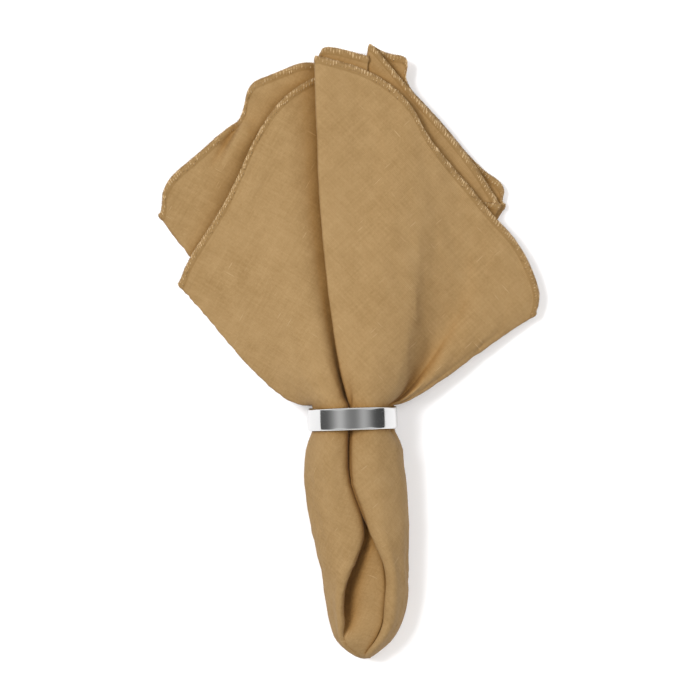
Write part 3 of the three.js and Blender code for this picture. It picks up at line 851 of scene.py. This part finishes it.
# The band's section. across: along the ring's axis, as a share of half its width;
# out: how far it stands out from the ring's outer radius, in millimetres
BAND_PROFILE = (
    (0.0, 0.0),
    (0.6, -0.01),
    (0.84, -0.03),
    (0.885, -0.08),
    (0.93, -0.26),
    (0.975, -0.56),
    (1.0, -0.8),
)
BAND_FACETS = 360
# Where hand polishing has widened the band's rounded rims
RIM_WAVES = 9
RIM_PHASE = math.radians(18)
RIM_SWELL = 0.11


def make_ring(centre):
    """The polished band, softly rounded at its edges and not quite true, as one bent
    from strip is."""
    half_width = RING_WIDTH / 2
    outer = [(share * half_width, RING_RADIUS + out) for share, out in BAND_PROFILE]
    inner_radius = RING_RADIUS - RING_WALL
    inner = [(half_width * 0.985, inner_radius + 0.1), (half_width * 0.94, inner_radius),
             (half_width * 0.8, inner_radius)]
    right = outer + inner
    left = [(-y, r) for y, r in reversed(right[1:])]
    loop = right + left
    points = []
    for i in range(BAND_FACETS):
        turn = 2 * math.pi * i / BAND_FACETS
        wave = 0.05 * math.sin(3 * turn + 0.8) + 0.03 * math.sin(7 * turn + 2)
        polish = (0.5 - 0.5 * math.cos(RIM_WAVES * turn - RIM_PHASE)) ** 2
        for y, r in loop:
            x = r * math.sin(turn)
            z = RING_RADIUS + r * math.cos(turn)
            bevel = 0.82 * half_width < abs(y) < 0.9 * half_width
            uneven = math.sin(11 * turn + y) + math.sin(17 * turn - 2 * y)
            y_here = y * (1 + (0.008 * uneven - RIM_SWELL * polish) * bevel) + wave
            points.append((x * math.cos(RING_TURN) - y_here * math.sin(RING_TURN),
                           x * math.sin(RING_TURN) + y_here * math.cos(RING_TURN), z))
    count = len(loop)
    faces = []
    for i in range(BAND_FACETS):
        here = i * count
        there = ((i + 1) % BAND_FACETS) * count
        for k in range(count):
            faces.append((here + k, here + (k + 1) % count, there + (k + 1) % count, there + k))
    return mesh_object("ring_band", to_frame(points, centre), faces)


class Nodes:
    """Short ways to build a material's nodes."""

    def __init__(self, name):
        self.material = bpy.data.materials.new(name)
        self.material.use_nodes = True
        self.tree = self.material.node_tree
        self.tree.nodes.clear()

    def add(self, kind, **settings):
        node = self.tree.nodes.new(kind)
        for key, value in settings.items():
            setattr(node, key, value)
        return node

    def plug(self, source, socket):
        self.tree.links.new(source, socket)

    def math(self, operation, first, second=None, clamp=False):
        node = self.add("ShaderNodeMath", operation=operation, use_clamp=clamp)
        for index, value in enumerate((first, second)):
            if value is None:
                continue
            if isinstance(value, (int, float)):
                node.inputs[index].default_value = value
            else:
                self.plug(value, node.inputs[index])
        return node.outputs[0]

    def noise(self, vector, scale, detail=2.0, roughness=0.5):
        node = self.add("ShaderNodeTexNoise")
        self.plug(vector, node.inputs["Vector"])
        node.inputs["Scale"].default_value = scale
        node.inputs["Detail"].default_value = detail
        node.inputs["Roughness"].default_value = roughness
        return node.outputs["Fac"]

    def stretch(self, vector, scale):
        node = self.add("ShaderNodeMapping")
        node.inputs["Scale"].default_value = scale
        self.plug(vector, node.inputs["Vector"])
        return node.outputs[0]

    def fit(self, value, from_low, from_high, to_low, to_high):
        node = self.add("ShaderNodeMapRange")
        self.plug(value, node.inputs["Value"])
        for key, number in (("From Min", from_low), ("From Max", from_high), ("To Min", to_low),
                            ("To Max", to_high)):
            node.inputs[key].default_value = number
        return node.outputs["Result"]

    def mix(self, factor, first, second, blend="MIX"):
        node = self.add("ShaderNodeMix", data_type="RGBA", blend_type=blend)
        for socket, value in ((node.inputs[0], factor), (node.inputs[6], first),
                              (node.inputs[7], second)):
            if isinstance(value, (int, float)):
                socket.default_value = value
            elif isinstance(value, tuple):
                socket.default_value = (*value, 1)
            else:
                self.plug(value, socket)
        return node.outputs[2]


LINEN_BASE = (0.252, 0.159, 0.067)
LINEN_DARK = (0.186, 0.110, 0.040)
LINEN_LIGHT = (0.324, 0.216, 0.102)
SLUB_COLOUR = (0.38, 0.262, 0.134)
THREAD_LIGHT = (0.50, 0.36, 0.20)
THREAD_PITCH = 0.00075


def linen_material():
    """Slubbed plain-weave linen, its threads following the weave map."""
    n = Nodes("linen")
    weave = n.add("ShaderNodeUVMap", uv_map="weave").outputs[0]
    split = n.add("ShaderNodeSeparateXYZ")
    n.plug(weave, split.inputs[0])
    a, b = split.outputs[0], split.outputs[1]
    uneven_a = n.noise(n.stretch(weave, (260, 25, 1)), 1, 2)
    uneven_b = n.noise(n.stretch(weave, (25, 260, 1)), 1, 2)
    turns = 2 * math.pi / THREAD_PITCH
    wave_a = n.math("SINE", n.math("ADD", n.math("MULTIPLY", a, turns), n.math("MULTIPLY", uneven_a, 5)))
    wave_b = n.math("SINE", n.math("ADD", n.math("MULTIPLY", b, turns), n.math("MULTIPLY", uneven_b, 5)))
    threads = n.math("MULTIPLY", n.math("ADD", wave_a, wave_b), 0.25)
    warp_tone = n.noise(n.stretch(weave, (800, 45, 1)), 1, 3, 0.6)
    weft_tone = n.noise(n.stretch(weave, (45, 800, 1)), 1, 3, 0.6)
    grain = n.noise(n.stretch(weave, (850, 850, 1)), 1, 3, 0.65)
    blotches = n.noise(n.stretch(weave, (110, 110, 1)), 1, 4, 0.6)
    clouds = n.noise(n.stretch(weave, (30, 30, 1)), 1, 2, 0.5)
    tone = n.math("ADD", n.math("MULTIPLY", n.math("ADD", warp_tone, weft_tone), 0.2),
                  n.math("MULTIPLY", n.math("ADD", grain, blotches), 0.3))
    shade = n.fit(tone, 0.36, 0.64, 0, 1)
    base = n.mix(shade, LINEN_DARK, LINEN_LIGHT)
    base = n.mix(0.3, base, LINEN_BASE)
    base = n.mix(n.fit(clouds, 0.35, 0.65, 0, 0.25), base, LINEN_LIGHT)
    slub_a = n.fit(n.noise(n.stretch(weave, (1300, 95, 1)), 1, 0), 0.8, 0.86, 0, 1)
    slub_b = n.fit(n.noise(n.stretch(weave, (95, 1300, 1)), 1, 0), 0.82, 0.88, 0, 1)
    slubs = n.math("MAXIMUM", slub_a, slub_b, clamp=True)
    base = n.mix(n.math("MULTIPLY", slubs, 0.8), base, SLUB_COLOUR)
    # painted shade between the threads: the weave's low places are darker
    depth = n.fit(threads, -0.5, 0.5, 0, 1)
    base = n.mix(n.math("MULTIPLY", n.math("SUBTRACT", 1, depth), 0.22), base, LINEN_DARK)
    # a darker hem band, and painted shade along the needle line's groove
    base = hem_band_and_groove_shade(n, base)
    # painted shade, darker and warmer in the cloth's deep folds
    base = painted_fold_shade(n, base)
    shader = n.add("ShaderNodeBsdfPrincipled")
    n.plug(base, shader.inputs["Base Color"])
    shader.inputs["Roughness"].default_value = 0.92
    shader.inputs["Specular IOR Level"].default_value = 0.18
    shader.inputs["Sheen Weight"].default_value = 0.04
    shader.inputs["Sheen Roughness"].default_value = 0.5
    height = n.math("ADD", n.math("MULTIPLY", threads, 0.5), n.math("MULTIPLY", tone, 1.1))
    height = n.math("ADD", height, n.math("MULTIPLY", slubs, 0.5))
    fine = n.add("ShaderNodeBump")
    fine.inputs["Strength"].default_value = 0.55
    fine.inputs["Distance"].default_value = 0.00035
    n.plug(height, fine.inputs["Height"])
    crumple = n.add("ShaderNodeBump")
    crumple.inputs["Strength"].default_value = 0.5
    crumple.inputs["Distance"].default_value = 0.0012
    n.plug(n.noise(n.stretch(weave, (130, 130, 1)), 1, 3, 0.55), crumple.inputs["Height"])
    n.plug(crumple.outputs[0], fine.inputs["Normal"])
    n.plug(fine.outputs[0], shader.inputs["Normal"])
    n.plug(shader.outputs[0], n.add("ShaderNodeOutputMaterial").inputs[0])
    return n.material


# Painted shade in the deep folds, warm as light that goes from face to face there and
# picks up the linen's colour: what is left of each colour there, and how enclosed a place
# is where it starts and ends
FOLD_SHADE_TINT = (0.87, 0.69, 0.43)
FOLD_REACH = 0.03
FOLD_OPEN = 0.97
FOLD_CLOSED = 0.4


def painted_fold_shade(n, base):
    """Paints shade into the colour: warms and darkens it where the cloth is enclosed by its own folds.
    """
    around = n.add("ShaderNodeAmbientOcclusion", samples=6)
    around.inputs["Distance"].default_value = FOLD_REACH
    # painted shade: the more enclosed, the darker and warmer
    enclosed = n.fit(around.outputs["AO"], FOLD_CLOSED, FOLD_OPEN, 1, 0)
    return n.mix(enclosed, base, FOLD_SHADE_TINT, blend="MULTIPLY")


def hem_band_and_groove_shade(n, base):
    """Darkens the hem's band, and paints shade along the groove of the needle line on the hem's inner
    side.
    """
    hem = n.add("ShaderNodeUVMap", uv_map="hem").outputs[0]
    split = n.add("ShaderNodeSeparateXYZ")
    n.plug(hem, split.inputs[0])
    inset = split.outputs[1]
    from_line = n.math("ABSOLUTE", n.math("SUBTRACT", inset, (HEM_WIDTH + 0.5) * MM))
    # painted shade along the needle line's groove
    line = n.fit(from_line, 0.0002, 0.0007, 1, 0)
    band = n.fit(inset, (HEM_WIDTH - 0.2) * MM, (HEM_WIDTH + 0.6) * MM, 0.4, 0)
    base = n.mix(band, base, LINEN_DARK)
    return n.mix(n.math("MULTIPLY", line, 0.6), base, LINEN_DARK)


def thread_material():
    """The overlock thread: the linen's colour, a little lighter, twisted."""
    n = Nodes("overlock_thread")
    place = n.add("ShaderNodeTexCoord").outputs["Object"]
    twist = n.noise(n.stretch(place, (900, 900, 900)), 1, 2)
    worn = n.noise(n.stretch(place, (420, 420, 420)), 1, 2)
    base = n.mix(n.fit(twist, 0.3, 0.7, 0, 1), LINEN_BASE, SLUB_COLOUR)
    base = n.mix(n.fit(worn, 0.38, 0.5, 0.7, 0), base, LINEN_DARK)
    base = n.mix(n.fit(worn, 0.47, 0.6, 0, 1), base, THREAD_LIGHT)
    shader = n.add("ShaderNodeBsdfPrincipled")
    n.plug(base, shader.inputs["Base Color"])
    shader.inputs["Roughness"].default_value = 0.75
    shader.inputs["Specular IOR Level"].default_value = 0.3
    bump = n.add("ShaderNodeBump")
    bump.inputs["Strength"].default_value = 0.5
    bump.inputs["Distance"].default_value = 0.0001
    n.plug(twist, bump.inputs["Height"])
    n.plug(bump.outputs[0], shader.inputs["Normal"])
    n.plug(shader.outputs[0], n.add("ShaderNodeOutputMaterial").inputs[0])
    return n.material


def metal_material():
    """Polished plate with faint rubbing marks round the band."""
    n = Nodes("polished_metal")
    place = n.add("ShaderNodeTexCoord").outputs["Object"]
    rub = n.noise(n.stretch(place, (120, 2400, 120)), 1, 3, 0.6)
    cloudy = n.noise(n.stretch(place, (60, 60, 60)), 1, 2)
    shader = n.add("ShaderNodeBsdfPrincipled")
    shader.inputs["Metallic"].default_value = 1
    base = n.mix(n.fit(cloudy, 0.3, 0.7, 0, 1), (0.50, 0.50, 0.495), (0.55, 0.55, 0.545))
    n.plug(base, shader.inputs["Base Color"])
    rough = n.math("ADD", n.fit(cloudy, 0.3, 0.7, 0.05, 0.11), n.math("MULTIPLY", rub, 0.04))
    n.plug(rough, shader.inputs["Roughness"])
    bump = n.add("ShaderNodeBump")
    bump.inputs["Strength"].default_value = 0.12
    bump.inputs["Distance"].default_value = 0.00004
    n.plug(rub, bump.inputs["Height"])
    n.plug(bump.outputs[0], shader.inputs["Normal"])
    n.plug(shader.outputs[0], n.add("ShaderNodeOutputMaterial").inputs[0])
    return n.material


def floor_material():
    """The plain pale surface."""
    n = Nodes("plain_floor")
    shader = n.add("ShaderNodeBsdfPrincipled")
    place = n.add("ShaderNodeTexCoord").outputs["Object"]
    base = n.mix(n.noise(n.stretch(place, (3, 3, 3)), 1, 2), (0.95, 0.95, 0.95), (0.97, 0.97, 0.97))
    n.plug(base, shader.inputs["Base Color"])
    shader.inputs["Roughness"].default_value = 0.8
    shader.inputs["Specular IOR Level"].default_value = 0.2
    n.plug(shader.outputs[0], n.add("ShaderNodeOutputMaterial").inputs[0])
    return n.material


def make_floor():
    """The surface that the napkin lies on."""
    half = 3.0
    corners = [(-half, -half, 0), (half, -half, 0), (half, half, 0), (-half, half, 0)]
    floor = mesh_object("floor", corners, [(0, 1, 2, 3)])
    floor.data.materials.append(floor_material())


# Camera: straight down. The photograph is 700 pixels square at half a millimetre each,
# and its middle lies this far from the ring's centre
CAMERA_HEIGHT = 3.0
PICTURE_WIDTH = 0.350
PICTURE_LEVEL = 0.020
PICTURE_MIDDLE = (-0.00125, 0.03425)


def make_camera(centre):
    """A camera that sees what the photograph shows."""
    data = bpy.data.cameras.new("camera")
    data.sensor_width = 36
    data.lens = data.sensor_width * (CAMERA_HEIGHT - PICTURE_LEVEL) / PICTURE_WIDTH
    camera = bpy.data.objects.new("camera", data)
    camera.location = (centre.x + PICTURE_MIDDLE[0], centre.y + PICTURE_MIDDLE[1], CAMERA_HEIGHT)
    bpy.context.scene.collection.objects.link(camera)
    bpy.context.scene.camera = camera


WORLD_LEVEL = 0.44
WORLD_TINT = (1.0, 0.95, 0.86)
LIGHT_TINT = (0.98, 0.99, 1.03)
# What polished metal mirrors: a dim studio with a soft card on either side. The place
# runs from 0 at the left horizon to 1 at the right one. The two ends come first
STUDIO_CARDS = (
    (0.0, 0.16),
    (1.0, 0.10),
    (0.06, 0.22),
    (0.16, 0.7),
    (0.25, 0.9),
    (0.36, 0.46),
    (0.5, 0.3),
    (0.62, 0.4),
    (0.74, 0.82),
    (0.84, 0.5),
    (0.92, 0.14),
)


def area_light(name, location, size, power, target=(0, 0, 0.02), glossy=True):
    """A rectangular light that points at a target."""
    data = bpy.data.lights.new(name, "AREA")
    data.shape = "RECTANGLE"
    data.size, data.size_y = size
    data.energy = power
    data.color = LIGHT_TINT
    light = bpy.data.objects.new(name, data)
    light.location = location
    aim = Vector(target) - Vector(location)
    light.rotation_euler = aim.to_track_quat("-Z", "Y").to_euler()
    light.visible_glossy = glossy
    bpy.context.scene.collection.objects.link(light)


END_CARD_LEVEL = 1.0
END_CARD_EDGE = (0.25, 0.45)


def end_cards(nodes, plug, direction, cards):
    """Adds the white cards beyond either end of the object, low down."""
    far = nodes.new("ShaderNodeMath")
    far.operation = "ABSOLUTE"
    plug(direction.outputs["Y"], far.inputs[0])
    share = nodes.new("ShaderNodeMapRange")
    share.inputs["From Min"].default_value = END_CARD_EDGE[0]
    share.inputs["From Max"].default_value = END_CARD_EDGE[1]
    plug(far.outputs[0], share.inputs["Value"])
    mix = nodes.new("ShaderNodeMix")
    mix.data_type = "RGBA"
    plug(share.outputs["Result"], mix.inputs[0])
    plug(cards, mix.inputs[6])
    mix.inputs[7].default_value = (END_CARD_LEVEL, END_CARD_LEVEL, END_CARD_LEVEL, 1)
    return mix.outputs[2]


def make_lights():
    """The studio's light, what metal mirrors in it, and two soft lamps."""
    world = bpy.data.worlds.new("studio")
    bpy.context.scene.world = world
    world.use_nodes = True
    background = world.node_tree.nodes["Background"]
    nodes = world.node_tree.nodes
    plug = world.node_tree.links.new
    direction = nodes.new("ShaderNodeSeparateXYZ")
    plug(nodes.new("ShaderNodeTexCoord").outputs["Generated"], direction.inputs[0])
    place = nodes.new("ShaderNodeMapRange")
    place.inputs["From Min"].default_value = -1
    plug(direction.outputs["X"], place.inputs["Value"])
    ramp = nodes.new("ShaderNodeValToRGB")
    ramp.color_ramp.interpolation = "B_SPLINE"
    stops = ramp.color_ramp.elements
    for index, (across, level) in enumerate(STUDIO_CARDS):
        stop = stops[index] if index < 2 else stops.new(across)
        stop.position = across
        stop.color = (level, level, level, 1)
    plug(place.outputs["Result"], ramp.inputs[0])
    mix = nodes.new("ShaderNodeMix")
    mix.data_type = "RGBA"
    plug(nodes.new("ShaderNodeLightPath").outputs["Is Glossy Ray"], mix.inputs[0])
    mix.inputs[6].default_value = (*(WORLD_LEVEL * tint for tint in WORLD_TINT), 1)
    plug(end_cards(nodes, plug, direction, ramp.outputs[0]), mix.inputs[7])
    plug(mix.outputs[2], background.inputs[0])
    area_light("key", (-1.15, 0.5, 2.05), (0.9, 0.9), 58, glossy=False)
    area_light("fill", (0.8, 0.1, 2.2), (1.4, 1.4), 32, glossy=False)


def main():
    """Dresses the frame."""
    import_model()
    centre = ring_centre()
    make_camera(centre)
    napkin, grid, normals, lengths = make_napkin(centre)
    napkin.data.materials.append(linen_material())
    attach(napkin, "root")
    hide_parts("napkin")
    stitches = make_stitches(centre, grid, normals, lengths)
    stitches.data.materials.append(thread_material())
    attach(stitches, "root")
    ring = make_ring(centre)
    ring.data.materials.append(metal_material())
    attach(ring, "root")
    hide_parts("ring")
    make_floor()
    make_lights()
    bpy.context.scene.view_settings.view_transform = "Standard"


main()
